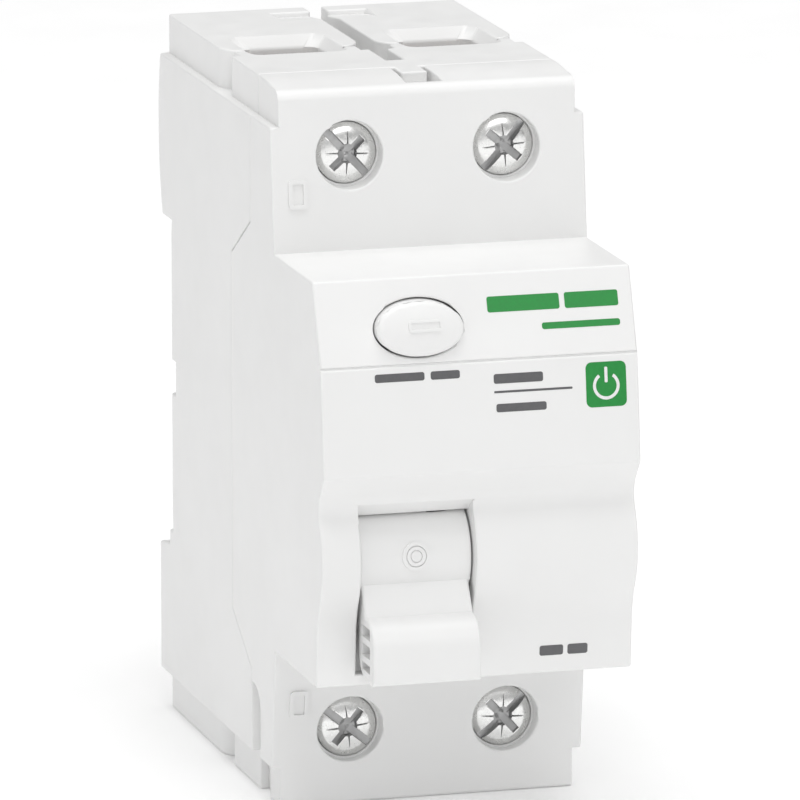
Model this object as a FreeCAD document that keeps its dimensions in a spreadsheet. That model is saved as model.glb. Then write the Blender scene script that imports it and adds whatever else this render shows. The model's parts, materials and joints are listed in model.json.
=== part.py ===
import FreeCAD, Part
import math
import os
import re
import Sketcher

os.makedirs("parts", exist_ok=True)

# Two pole residual current device for a 35 mm top hat rail, in millimetres.
# X runs across the two poles, the front looks towards -Y and +Z is up.
# The origin lies on the rail seat, at mid width, on the rail's centre line.

DIMENSIONS = {
    # case
    "width": 36.0,
    "ledge_z": 36.3,
    "end_z": 40.8,
    "pole_x": 9.0,
    "block_half": 8.0,
    "side_wall": 1.7,
    "seam_front_y": -35.0,
    "seam_rear_y": -26.8,
    "seam_upper_z": 19.2,
    "seam_lower_z": -21.6,
    "seam_gap": 0.2,
    "block_corner": 3.8,
    "tongue_half": 1.5,
    # rear profile, with the recess for the rail
    "seat_z": 17.6,
    "seat_low_z": -18.8,
    "seat_relief": 0.25,
    "hump_y": 5.6,
    "back_wall": 3.4,
    "cavity_z": 21.6,
    # front profile
    "shoulder_y": -45.2,
    "shoulder_end_y": -43.6,
    "nose_z": 22.5,
    "nose_top_y": -61.0,
    "nose_seam_y": -64.25,
    "nose_seam_z": 13.4,
    "nose_front_y": -65.65,
    "nose_edge_z": 1.4,
    "nose_foot_y": -62.4,
    "nose_wall": 1.6,
    # terminals
    "upper_z": 32.9,
    "lower_z": -32.2,
    "room_half": 6.6,
    "room_rear_y": -11.2,
    "room_front_y": -40.0,
    "room_in_z": 24.5,
    "room_out_z": 38.3,
    "entry_half": 4.5,
    "entry_rear_y": -13.4,
    "entry_front_y": -23.9,
    "entry_corner": 1.5,
    "flare": 1.15,
    "flare_depth": 1.3,
    "hole_radius": 3.8,
    "head_radius": 3.45,
    "thread_radius": 2.5,
    "screw_tip_y": -26.05,
    "head_rear_y": -40.3,
    "head_rim_y": -42.2,
    "head_top_y": -43.1,
    "cage_half": 5.9,
    "cage_height": 8.6,
    "cage_rear_y": -12.0,
    "cage_front_y": -29.6,
    "bar_rear_y": -24.0,
    "bar_front_y": -26.0,
    "bar_half": 4.1,
    "bar_neck_half": 2.6,
    "bar_slot_half": 3.0,
    # toggle and its window
    "toggle_y": -58.0,
    "toggle_z": -8.7,
    "drum_radius": 5.6,
    "drum_half": 6.35,
    "handle_half": 6.1,
    "toggle_x": -6.98,
    "window_half": 6.53,
    "well_wall": 1.2,
    "pin_radius": 0.9,
    "pin_fit": 0.05,
    "link_x": -4.0,
    "link_pin_radius": 0.4,
    "crank_y": -58.38,
    "crank_z": -6.53,
    "carrier_crank_y": -34.42,
    "carrier_crank_z": 10.62,
    # contact carrier and contacts
    "carrier_y": -33.0,
    "carrier_z": -2.0,
    "carrier_radius": 2.9,
    "carrier_pin_radius": 1.5,
    "arm_rear_y": -32.6,
    "arm_front_y": -34.0,
    "arm_half": 2.0,
    "tip_z": 17.0,
    "tip_radius": 1.7,
    "tip_height": 1.0,
    # trip lever and relay
    "lever_y": -46.0,
    "lever_z": 9.0,
    "lever_pin_radius": 1.0,
    "lever_hub_radius": 2.0,
    "relay_x": 10.1,
    "relay_half": 5.5,
    "relay_rear_y": -44.0,
    "relay_front_y": -60.0,
    "relay_low_z": -18.0,
    "relay_top_z": -2.0,
    "relay_wall": 0.8,
    "relay_coil_radius": 3.3,
    "relay_coil_bore": 1.25,
    "plunger_y": -52.0,
    "plunger_radius": 1.1,
    # summation transformer
    "ring_z": -6.0,
    "ring_rear_y": -8.6,
    "ring_front_y": -17.4,
    "core_outer": 10.3,
    "core_inner": 7.4,
    "core_case_outer": 11.1,
    "core_case_inner": 6.6,
    "winding_outer": 11.8,
    "winding_inner": 5.9,
    "strand_x": 2.7,
    "strand_half": 1.4,
    "braid_radius": 1.0,
    # test button
    "button_x": -6.55,
    "button_z": 17.2,
    "button_long": 4.95,
    "button_short": 2.95,
    "button_gap": 0.2,
    "flange_y": -58.2,
    "stem_radius": 1.4,
    # test circuit
    "leaf_half": 1.6,
    "resistor_y": -44.0,
    "resistor_z": 17.0,
    "resistor_radius": 1.9,
    "lead_radius": 0.35,
    # rail clip
    "clip_half": 9.8,
    "clip_front_y": 1.75,
    "clip_rear_y": 4.25,
    "clip_low_z": -40.4,
    "clip_top_z": -16.6,
    "clip_bevel": 1.2,
    # wall between the poles
    "barrier_half": 0.7,
}

POLES = {"left": -1, "right": 1}
ENDS = {"upper": 1, "lower": -1}

doc = FreeCAD.newDocument("residual_current_device")
sheet = doc.addObject("Spreadsheet::Sheet", "dims")
for row, (alias, number) in enumerate(DIMENSIONS.items(), start=1):
    sheet.set("A%d" % row, alias.replace("_", " "))
    sheet.set("B%d" % row, str(number))
    sheet.setAlias("B%d" % row, alias)
doc.recompute()

nodes = []


def bound(text):
    """An expression in the sheet's aliases, as the other objects write it."""
    def refer(match):
        word = match.group()
        return "dims." + word if word in DIMENSIONS else word
    return re.sub(r"[a-z][a-z_0-9]*", refer, str(text))


def value(text):
    """The number that an expression in the sheet's aliases stands for."""
    result = sheet.evalExpression(str(text))
    return float(getattr(result, "Value", result))


# ---------------------------------------------------------------- sketches

def pin_point(sketch, curve, end, x, y):
    """Holds one end of a curve at the place that two expressions give."""
    for kind, text in (("DistanceX", x), ("DistanceY", y)):
        index = sketch.addConstraint(Sketcher.Constraint(kind, -1, 1, curve, end, value(text)))
        sketch.setExpression("Constraints[%d]" % index, bound(text))


def outline(*points):
    """A closed outline. A third entry is the radius of the arc that arrives at the point,
    positive where the arc bulges to the right of its direction."""
    def draw(sketch):
        places = [FreeCAD.Vector(value(p[0]), value(p[1]), 0) for p in points]
        ends = []
        for index, point in enumerate(points):
            a = places[index - 1]
            b = places[index]
            if len(point) == 2:
                ends.append((sketch.addGeometry(Part.LineSegment(a, b), False), 1, 2))
            else:
                ends.append(add_arc(sketch, a, b, point[2]))
        for index, point in enumerate(points):
            curve, _, last = ends[index]
            following, first, _ = ends[(index + 1) % len(points)]
            sketch.addConstraint(Sketcher.Constraint("Coincident", curve, last, following, first))
            pin_point(sketch, curve, last, point[0], point[1])
    return draw


def add_arc(sketch, a, b, radius_text):
    """An arc from a to b. Returns the curve and which of its ends are a and b."""
    radius = value(radius_text)
    chord = b - a
    side = FreeCAD.Vector(-chord.y, chord.x, 0).normalize()
    height = math.sqrt(max(radius * radius - chord.Length ** 2 / 4, 0))
    centre = (a + b) * 0.5 + side * math.copysign(height, radius)
    start, stop = (a, b) if radius > 0 else (b, a)
    first = math.atan2(start.y - centre.y, start.x - centre.x)
    last = math.atan2(stop.y - centre.y, stop.x - centre.x)
    if last < first:
        last += 2 * math.pi
    circle = Part.Circle(centre, FreeCAD.Vector(0, 0, 1), abs(radius))
    curve = sketch.addGeometry(Part.ArcOfCircle(circle, first, last), False)
    index = sketch.addConstraint(Sketcher.Constraint("Radius", curve, abs(radius)))
    text = radius_text if radius > 0 else "-(%s)" % radius_text
    sketch.setExpression("Constraints[%d]" % index, bound(text))
    return (curve, 1, 2) if radius > 0 else (curve, 2, 1)


def box(x0, x1, y0, y1):
    """A rectangle between two pairs of sketch coordinates."""
    return outline((x0, y0), (x1, y0), (x1, y1), (x0, y1))


def rounded(x0, x1, y0, y1, radius):
    """A rectangle with rounded corners, where x0 < x1 and y0 < y1."""
    left, right = "%s + %s" % (x0, radius), "%s - %s" % (x1, radius)
    low, high = "%s + %s" % (y0, radius), "%s - %s" % (y1, radius)
    return outline((left, y0, radius), (right, y0), (x1, low, radius), (x1, high),
                   (right, y1, radius), (left, y1), (x0, high, radius), (x0, low))


def disc(x, y, radius):
    """A circle."""
    def draw(sketch):
        circle = Part.Circle(FreeCAD.Vector(value(x), value(y), 0), FreeCAD.Vector(0, 0, 1),
                             value(radius))
        curve = sketch.addGeometry(circle, False)
        pin_point(sketch, curve, 3, x, y)
        index = sketch.addConstraint(Sketcher.Constraint("Radius", curve, value(radius)))
        sketch.setExpression("Constraints[%d]" % index, bound(radius))
    return draw


def oval(x, y, half_long, half_short):
    """An ellipse that is longest along the sketch's X."""
    def draw(sketch):
        centre = FreeCAD.Vector(value(x), value(y), 0)
        curve = sketch.addGeometry(Part.Ellipse(centre, value(half_long), value(half_short)), False)
        sketch.exposeInternalGeometry(curve)
        pin_point(sketch, curve, 3, x, y)
        sketch.addConstraint(Sketcher.Constraint("Horizontal", curve + 1))
        for axis, half in ((curve + 1, half_long), (curve + 2, half_short)):
            index = sketch.addConstraint(Sketcher.Constraint("Distance", axis, 2 * value(half)))
            sketch.setExpression("Constraints[%d]" % index, bound("2 * (%s)" % half))
    return draw


# ---------------------------------------------------------------- bodies

# Each view is an origin plane of the body, with the sense in which its normal runs along the
# axis: side looks along X and draws Y, Z; front looks along Y and draws X, Z; top draws X, Y.
VIEWS = {"side": ("YZ_Plane", 1), "front": ("XZ_Plane", -1), "top": ("XY_Plane", 1)}


def new_body(label):
    """An empty body that becomes the node of that name."""
    body = doc.addObject("PartDesign::Body", label)
    body.Label = label
    nodes.append(body)
    return body


def sketch_on(body, view, start, loops):
    """A sketch in one of the views, at the place start along the view's axis."""
    role, sense = VIEWS[view]
    sketch = body.newObject("Sketcher::SketchObject", body.Label + "_sketch")
    plane = [feature for feature in body.Origin.OriginFeatures if feature.Role == role][0]
    sketch.AttachmentSupport = [(plane, "")]
    sketch.MapMode = "FlatFace"
    sketch.setExpression("AttachmentOffset.Base.z", bound("%d * (%s)" % (sense, start)))
    for loop in loops:
        loop(sketch)
    return sketch


def extrude(kind, body, view, start, end, loops):
    """A Pad or Pocket of the loops from start to end along the view's axis, where end lies
    towards +X, towards the front or upwards."""
    sketch = sketch_on(body, view, start, loops)
    feature = body.newObject("PartDesign::" + kind, body.Label + "_" + kind.lower())
    feature.Profile = sketch
    sense = VIEWS[view][1]
    feature.setExpression("Length", bound("%d * ((%s) - (%s))" % (sense, end, start)))
    feature.Reversed = kind == "Pocket"
    feature.Refine = False
    return feature


def grow(body, view, start, end, *loops):
    """Adds material."""
    return extrude("Pad", body, view, start, end, loops)


def carve(body, view, start, end, *loops):
    """Takes material away."""
    return extrude("Pocket", body, view, start, end, loops)


def spin(body, loop):
    """Adds a turned shape about the Y axis. Its half profile is drawn in the side view."""
    sketch = sketch_on(body, "side", "0", [loop])
    turned = body.newObject("PartDesign::Revolution", body.Label + "_turned")
    turned.Profile = sketch
    turned.ReferenceAxis = (sketch, ["H_Axis"])
    turned.Angle = 360
    return turned


def place(item, x="0", y="0", z="0", turn=0):
    """Puts a node at a place, turned about Y by some degrees."""
    item.Placement = FreeCAD.Placement(FreeCAD.Vector(), FreeCAD.Rotation(FreeCAD.Vector(0, 1, 0),
                                                                          turn))
    for axis, text in (("x", x), ("y", y), ("z", z)):
        item.setExpression("Placement.Base." + axis, bound(text))


# ---------------------------------------------------------------- case

def seam(toward):
    """The points of the joint between the case halves, from the top down."""
    return [("seam_front_y", "seam_upper_z + 5"), ("seam_rear_y", "seam_upper_z"),
            ("seam_rear_y", "seam_lower_z"), ("seam_front_y", "seam_lower_z - 5.1")][::toward]


def end_block(pole):
    """The outline of one pole's raised block at an end of the base, seen from above, with the
    rounded corner, the narrow gap and the step that both its sides have."""
    corners = [("0", "4.4"), ("0", "-17.4"), ("1.6", "-20.6"), ("2.4", "-20.6"), ("2.4", "-21.25"),
               ("0.9", "-21.25"), ("0.9", "-23.6"), ("0", "-23.6"), ("0", "seam_front_y")]
    before_arc, after_arc = 1, 2
    points = []
    for index, (inset, y) in enumerate(corners):
        point = ("%d * pole_x - block_half + %s" % (pole, inset), y)
        points.append(point + ("block_corner",) if index == after_arc else point)
    for index in reversed(range(len(corners))):
        inset, y = corners[index]
        point = ("%d * pole_x + block_half - %s" % (pole, inset), y)
        points.append(point + ("block_corner",) if index == before_arc else point)
    return outline(*points)


def cable_entry(body, pole, sign):
    """The mouth of one terminal: a straight rounded passage with a flared rim."""
    x = "%d * pole_x" % pole
    start, end = ("room_out_z - 1", "end_z + 1") if sign > 0 else ("-(end_z + 1)", "1 - room_out_z")
    carve(body, "top", start, end,
          rounded(x + " - entry_half", x + " + entry_half", "entry_front_y", "entry_rear_y",
          "entry_corner"))
    flare = body.newObject("PartDesign::SubtractiveLoft", body.Label + "_flare")
    rims = []
    for wider, depth in (("0", "flare_depth"), ("flare", "0")):
        rims.append(sketch_on(body, "top", "%d * (end_z - %s)" % (sign, depth), [rounded(
            "%s - entry_half - %s" % (x, wider), "%s + entry_half + %s" % (x, wider),
            "entry_front_y", "entry_rear_y + " + wider, "entry_corner")]))
    flare.Profile = rims[0]
    flare.Sections = [rims[1]]
    flare.Ruled = True
    flare.Refine = False


def terminal_rooms(body, rear, front):
    """The four hollows that hold the cages."""
    rooms = []
    for pole in POLES.values():
        x = "%d * pole_x" % pole
        for low, high in (("room_in_z", "room_out_z"), ("-room_out_z", "-room_in_z")):
            rooms.append(box(x + " - room_half", x + " + room_half", low, high))
    carve(body, "front", rear, front, *rooms)


def bar_slots(body, rear, front):
    """The slots that let the terminal bars into the middle of the case."""
    slots = []
    for pole in POLES.values():
        x = "%d * pole_x" % pole
        for low, high in (("cavity_z - 1", "room_in_z + 1"), ("-room_in_z - 1", "1 - cavity_z")):
            slots.append(box(x + " - bar_slot_half", x + " + bar_slot_half", low, high))
    carve(body, "front", rear, front, *slots)


def make_rear_base():
    """The rear half of the case, which sits on the rail."""
    body = new_body("rear_base")
    rear = [("seam_front_y", "-ledge_z"), ("hump_y", "-ledge_z"), ("hump_y", "seat_low_z - 2.4"),
            ("1.2", "seat_low_z - 1.7"), ("1.2", "seat_low_z"), ("-seat_relief", "seat_low_z"),
            ("-seat_relief", "-16.2"), ("0", "-16.2"), ("0", "15.7"), ("-seat_relief", "15.7"),
            ("-seat_relief", "seat_z"), ("4", "seat_z"), ("hump_y", "27", 34), ("hump_y", "30"),
            ("4.6", "ledge_z", 26),
            ("seam_front_y", "ledge_z")]
    # the upper slant of the joint stays slightly open, as it does on the finished device
    gap = [("seam_front_y", "seam_upper_z + 5 + seam_gap"), ("seam_rear_y", "seam_upper_z + seam_gap")]
    grow(body, "side", "-width / 2", "width / 2", outline(*(rear + gap + seam(1)[1:])))
    for sign in ENDS.values():
        start, end = ("ledge_z - 1", "end_z") if sign > 0 else ("-end_z", "1 - ledge_z")
        grow(body, "top", start, end, *[end_block(pole) for pole in POLES.values()])
        grow(body, "top", start, end, box("-tongue_half", "tongue_half", "seam_front_y", "-30.7"))
    # the thumb ramps beside the channel between the poles
    carve(body, "side", "-5.7", "5.5", outline(("1.5", "end_z + 0.1"), ("1.5", "end_z - 0.6"),
                                               ("-4.6", "end_z + 0.1")))
    carve(body, "side", "side_wall - width / 2", "width / 2 - side_wall",
          box("seam_front_y - 1", "-back_wall", "-cavity_z", "cavity_z"))
    terminal_rooms(body, "room_rear_y", "seam_front_y - 1")
    bar_slots(body, "bar_rear_y + 0.3", "seam_front_y - 1")
    for sign in ENDS.values():
        for pole in POLES.values():
            cable_entry(body, pole, sign)
    # small notches in the seat's side edges
    for start, end in (("-width / 2 - 1", "3 - width / 2"), ("width / 2 - 3", "width / 2 + 1")):
        carve(body, "side", start, end, box("-1.7", "1", "-2.5", "1.3"))
    # fixed hook behind the rail's upper edge
    grow(body, "side", "-14", "14", outline(("1.3", "seat_z + 0.5"), ("1.3", "16.4"), ("2.4", "16.1"),
                                            ("4.0", "seat_z"), ("4.0", "seat_z + 0.5")))
    # guide for the rail clip, narrower at its mouth
    carve(body, "front", "4.4", "1.2", box("-clip_half - 0.2", "clip_half + 0.2", "-end_z - 1",
                                           "seat_low_z"))
    carve(body, "front", "hump_y + 1", "4.4", box("1.4 - clip_half", "clip_half - 1.4", "-end_z - 1",
                                                  "seat_low_z"))
    grow(body, "front", "3.9", "1.1", box("-1.2", "1.2", "-37.4", "-35.9"))
    # snap tongues at the ends of the seam
    for sign in ENDS.values():
        start, end = ("end_z - 1.3", "end_z") if sign > 0 else ("-end_z", "1.3 - end_z")
        grow(body, "top", start, end, box("-tongue_half", "tongue_half", "-38.4", "seam_front_y + 0.5"))
    return body


def nose_points():
    """The front of the cover from the top of the nose down to its foot."""
    return [("shoulder_y", "nose_z"), ("nose_top_y", "nose_z"), ("nose_seam_y", "nose_seam_z"),
            ("nose_front_y", "nose_edge_z", 160), ("-63.96", "-0.83"), ("-63.7", "-4", -2.96),
            ("-64.05", "-12.5", 9.1), ("-62.75", "-17.2", -10.6), ("nose_foot_y", "-nose_z"),
            ("shoulder_y", "-nose_z")]


def make_front_cover():
    """The front half of the case."""
    body = new_body("front_cover")
    points = [("seam_front_y", "ledge_z"), ("shoulder_end_y", "ledge_z")] + nose_points()
    points += [("shoulder_end_y", "-ledge_z"), ("seam_front_y", "-ledge_z")] + seam(-1)
    grow(body, "side", "-width / 2", "width / 2", outline(*points))
    grow(body, "side", "-pole_x - block_half", "pole_x + block_half", outline(
        ("seam_front_y", "ledge_z - 1"), ("seam_front_y", "end_z"), ("-42.0", "end_z - 0.5", 36),
        ("-43.4", "end_z - 1.75", 1.35), ("shoulder_end_y", "ledge_z"), ("-43", "ledge_z - 1")))
    grow(body, "side", "-pole_x - block_half", "pole_x + block_half", outline(
        ("seam_front_y", "1 - ledge_z"), ("-43", "1 - ledge_z"), ("shoulder_end_y", "-ledge_z"),
        ("-43.3", "0.5 - end_z"), ("-42.8", "-end_z", 0.5), ("seam_front_y", "-end_z")))
    carve(body, "side", "-width / 2 + side_wall", "width / 2 - side_wall", outline(
        ("seam_rear_y + 1", "nose_wall - nose_z"), ("seam_rear_y + 1", "nose_z - nose_wall"),
        ("nose_top_y + nose_wall", "nose_z - nose_wall"), ("nose_seam_y + nose_wall", "nose_seam_z"),
        ("nose_front_y + nose_wall", "nose_edge_z + 0.6"), ("-61.5", "-1.7"), ("-62.2", "-9"),
        ("-60.8", "-16.3"), ("nose_foot_y + nose_wall", "nose_wall - nose_z")))
    terminal_rooms(body, "seam_front_y + 1", "room_front_y")
    carve(body, "front", "room_front_y + 1", "shoulder_y - 1", *[
        disc("%d * pole_x" % pole, row, "hole_radius")
        for pole in POLES.values() for row in ("upper_z", "lower_z")])
    toggle_well(body)
    button_guide(body)
    # fine groove across the nose, side slots at the foot and the snap windows
    carve(body, "side", "-width / 2 - 1", "width / 2 + 1",
          box("nose_seam_y - 1", "nose_seam_y + 0.22", "nose_seam_z - 0.06", "nose_seam_z + 0.06"))
    for start, end in (("-width / 2 - 1", "1 - width / 2"), ("width / 2 - 1", "width / 2 + 1")):
        carve(body, "side", start, end, outline(
            ("seam_front_y - 3.9", "-ledge_z - 1"), ("seam_front_y + 1", "-ledge_z - 1"),
            ("seam_front_y + 1", "-28.3"), ("seam_front_y - 1.4", "-28.3"),
            ("seam_front_y - 3.9", "-31.2", 3.2)))
    for start, end in (("-width / 2 - 1", "2 - width / 2"), ("width / 2 - 2", "width / 2 + 1")):
        carve(body, "side", start, end, box("seam_front_y - 4.3", "seam_front_y + 1", "-end_z - 1",
                                            "-ledge_z - 0.9"))
    for start, end in (("end_z - 1.6", "end_z + 1"), ("-end_z - 1", "1.6 - end_z")):
        carve(body, "top", start, end, outline(("-1.9", "-42"), ("2.2", "-42"),
                                               ("1.9", "seam_front_y + 1"),
                                               ("-1.9", "seam_front_y + 1")))
    return body


def toggle_well(body):
    """The walls that carry the toggle's pin, and the window that the handle swings in."""
    low = "toggle_x - window_half"
    high = "toggle_x + window_half"
    well = [("-50", "-18.5"), ("-61.2", "-21.4"), ("-61.6", "-20"), ("-61.6", "-16"),
            ("-62.6", "-13"), ("-62.6", "-1.2"), ("-50", "-1.2")]
    grow(body, "side", low + " - well_wall", high + " + well_wall", outline(*well))
    carve(body, "side", low, high, outline(
        ("-60.9", "-4.0"), ("-67", "0.65"), ("-67", "-21.2"), ("-60.9", "-21.2"), ("-59.0", "-15.2"),
        ("-57", "-10")))
    carve(body, "side", low, high, disc("toggle_y", "toggle_z", "drum_radius + 0.3"))
    carve(body, "side", low, high, outline(
        ("-58", "-14.6"), ("-49", "-14.6"), ("-49", "0"), ("-55", "0"), ("-58", "-2.8")))
    carve(body, "side", low + " - 2", high + " + 2", disc("toggle_y", "toggle_z", "pin_radius"))


def button_guide(body):
    """The oval hole of the test button and the shelf that guides its stem."""
    carve(body, "front", "nose_top_y + nose_wall + 4", "nose_front_y - 1",
          oval("button_x", "button_z", "button_long + button_gap", "button_short + button_gap"))
    grow(body, "front", "-53.6", "-54.6", box("-width / 2 + side_wall - 0.5", "-1.5", "12.6",
                                              "nose_z - 1"))
    carve(body, "front", "-53", "-55", disc("button_x", "button_z", "stem_radius + 0.25"))


# ---------------------------------------------------------------- toggle

def make_toggle():
    """Drum, neck and hollow handle in one moulding, resting in its lower position."""
    body = new_body("toggle")
    grow(body, "side", "toggle_x - drum_half", "toggle_x + drum_half",
         disc("toggle_y", "toggle_z", "drum_radius"))
    grow(body, "side", "toggle_x - handle_half", "toggle_x + handle_half", outline(
        ("-60", "-10.5"), ("-62.9", "-10.85"), ("-64.95", "-14.35"), ("-68.14", "-18.2", 3.35),
        ("-67.95", "-21"), ("-67.5", "-21.4", 0.45), ("-64.2", "-21.25"), ("-62.0", "-18.9", 2.6),
        ("-61.9", "-16.4"), ("-59.6", "-12.6")))
    low = "toggle_x - handle_half - 1"
    cells = (("-16.6", "-15.3"), ("-18.7", "-17.3"), ("-20.3", "-19.4"))
    carve(body, "side", low, low + " + 2.4", *[box("-66.6", "-63.4", z0, z1) for z0, z1 in cells])
    carve(body, "side", "toggle_x - drum_half - 1", "toggle_x + drum_half + 1",
          disc("toggle_y", "toggle_z", "pin_radius + pin_fit"))
    # slot and hole for the link
    carve(body, "side", "link_x - 0.9", "link_x + 0.9", outline(
        ("crank_y - 0.8", "crank_z - 0.4"), ("crank_y - 0.45", "crank_z - 0.8"),
        ("crank_y + 0.5", "crank_z - 0.7"),
        ("-52", "-3"), ("-53", "0"), ("-61.1", "0"), ("-61.1", "-2.85")))
    carve(body, "side", "link_x - 2", "link_x + 2", disc("crank_y", "crank_z",
                                                         "link_pin_radius + pin_fit"))
    return body


def make_pins():
    """The steel pins that the levers turn on."""
    pin = new_body("toggle_pin")
    grow(pin, "side", "toggle_x - window_half - well_wall", "toggle_x + window_half + 4.6",
         disc("toggle_y", "toggle_z", "pin_radius"))
    for label, y, z, radius in (("carrier_pin", "carrier_y", "carrier_z", "carrier_pin_radius"),
                                ("trip_lever_pin", "lever_y", "lever_z", "lever_pin_radius")):
        pin = new_body(label)
        grow(pin, "side", "side_wall - width / 2", "width / 2 - side_wall", disc(y, z, radius))


def make_link():
    """The steel link between the toggle's crank and the contact carrier."""
    body = new_body("toggle_link")
    grow(body, "side", "link_x - 0.6", "link_x + 0.6", outline(
        ("crank_y - 0.36", "crank_z + 0.5"), ("crank_y + 0.36", "crank_z - 0.5", 0.65),
        ("carrier_crank_y + 0.36", "carrier_crank_z - 0.5"),
        ("carrier_crank_y - 0.36", "carrier_crank_z + 0.5", 0.65)))
    for y, z in (("crank_y", "crank_z"), ("carrier_crank_y", "carrier_crank_z")):
        grow(body, "side", "link_x - 1.75", "link_x + 1.75", disc(y, z, "link_pin_radius"))


def make_carrier():
    """The insulating crossbar that carries both moving contacts."""
    body = new_body("contact_carrier")
    grow(body, "side", "-13.5", "13.5", disc("carrier_y", "carrier_z", "carrier_radius"))
    for pole in POLES.values():
        x0, x1 = "%d * pole_x - 2.9" % pole, "%d * pole_x + 2.9" % pole
        grow(body, "side", x0, x1, outline(
            ("-35.6", "-2"), ("-31.2", "-2"), ("-31.2", "3.4"), ("-32.5", "3.4"), ("-32.5", "1.2"),
            ("-34.1", "1.2"),
            ("-34.1", "4.2"), ("-36.2", "4.2"), ("-37.6", "5.4"), ("-37.6", "9.6"), ("-38.8", "9.6"),
            ("-38.8", "3.6")))
    for x0, x1 in (("link_x - 2.1", "link_x - 0.9"), ("link_x + 0.9", "link_x + 2.1")):
        grow(body, "side", x0, x1, outline(
            ("-35.6", "-1.5"), ("-30.8", "-1.5"), ("-32.6", "12.9"), ("-36.3", "12.9")))
        carve(body, "side", x0, x1, box("carrier_crank_y - 0.95", "carrier_crank_y + 0.95",
                                        "carrier_crank_z - 2.1", "carrier_crank_z + 0.8"))
    carve(body, "side", "-14", "14", disc("carrier_y", "carrier_z", "carrier_pin_radius + pin_fit"))
    return body


def make_contacts():
    """Moving arms, silver tips and the pressure springs of both poles."""
    for side, pole in POLES.items():
        x = "%d * pole_x" % pole
        arm = new_body("moving_contact_" + side)
        grow(arm, "side", x + " - arm_half", x + " + arm_half", outline(
            ("arm_front_y", "1.4"), ("arm_rear_y", "1.4"), ("arm_rear_y", "19.2"),
            ("arm_front_y", "18.4")))
    for label, front in (("moving_tips", "arm_rear_y"), ("fixed_tips", "bar_front_y - tip_height")):
        tips = []
        for pole in POLES.values():
            middle = FreeCAD.Vector(pole * value("pole_x"), value(front), value("tip_z"))
            tips.append(Part.makeCylinder(value("tip_radius"), value("tip_height"), middle,
                                          FreeCAD.Vector(0, 1, 0)))
        make_group(label, tips)


def make_group(label, shapes):
    """One node that holds several separate solids of the same kind."""
    group = doc.addObject("Part::Feature", label)
    group.Label = label
    group.Shape = Part.makeCompound(shapes) if len(shapes) > 1 else shapes[0]
    nodes.append(group)
    return group


def make_coil(label, start, axis, radius, wire, length, turns):
    """A round wire spring. Its axis starts at a place and runs along a direction."""
    helix = Part.makeHelix((length - wire) / turns, length - wire, radius)
    section = Part.Wire(Part.makeCircle(wire / 2, FreeCAD.Vector(radius, 0, 0),
                                        FreeCAD.Vector(0, 1, 0)))
    coil = Part.Wire(helix.Edges).makePipeShell([section], True, True)
    group = make_group(label, [coil])
    turn = FreeCAD.Rotation(FreeCAD.Vector(0, 0, 1), FreeCAD.Vector(*axis))
    along = FreeCAD.Vector(*axis).normalize() * (wire / 2)
    group.Placement = FreeCAD.Placement(FreeCAD.Vector(*[value(text) for text in start]) + along, turn)
    return group


def make_springs():
    """Every coil spring of the device, at its installed length."""
    for side, pole in POLES.items():
        make_coil("contact_spring_" + side, ("%d * pole_x" % pole, "-37.45", "7.6"), (0, 1, 0),
                  radius=1.3, wire=0.4, length=3.3, turns=4)
    make_coil("toggle_spring", ("toggle_x + window_half + 1.3", "toggle_y", "toggle_z"), (1, 0, 0),
              radius=1.9, wire=0.45, length=2.6, turns=3)
    make_coil("trip_lever_spring", ("2.0", "lever_y", "lever_z"), (1, 0, 0),
              radius=2.4, wire=0.5, length=3.4, turns=4)
    make_coil("test_button_spring", ("button_x", "-54.65", "button_z"), (0, -1, 0),
              radius=2.1, wire=0.4, length=1.45, turns=1.5)
    make_coil("rail_clip_spring", ("0", "2.95", "-35.85"), (0, 0, 1),
              radius=0.9, wire=0.3, length=7.6, turns=11)


# ---------------------------------------------------------------- terminals

def make_screw(label, x, z, turn):
    """A combination head terminal screw."""
    body = new_body(label)
    spin(body, outline(
        ("screw_tip_y", "0"), ("head_top_y", "0"), ("head_rim_y", "head_radius", -7.5),
        ("head_rear_y", "head_radius"), ("head_rear_y", "thread_radius"),
        ("screw_tip_y - 0.6", "thread_radius"), ("screw_tip_y", "thread_radius - 0.6")))
    carve(body, "front", "head_top_y + 1.1", "head_top_y - 0.5", box("-2.9", "2.9", "-0.55", "0.55"))
    carve(body, "front", "head_top_y + 1.5", "head_top_y - 0.5", box("-0.5", "0.5", "-2.25", "2.25"))
    carve(body, "front", "head_top_y + 2.3", "head_top_y - 0.5", disc("0", "0", "1.05"))
    place(body, x=x, z=z, turn=turn)


def make_cage(label, x, z):
    """The rising clamp of one terminal."""
    body = new_body(label)
    grow(body, "top", "-cage_height / 2", "cage_height / 2",
         rounded("-cage_half", "cage_half", "cage_front_y", "cage_rear_y", 0.6))
    carve(body, "top", "-cage_height / 2 - 1", "cage_height / 2 + 1",
          rounded("1.2 - cage_half", "cage_half - 1.2", "cage_front_y + 2.6", "cage_rear_y - 1.2", 0.4))
    carve(body, "front", "cage_front_y + 3", "cage_front_y - 1", disc("0", "0", "thread_radius + 0.06"))
    place(body, x=x, z=z)


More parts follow.
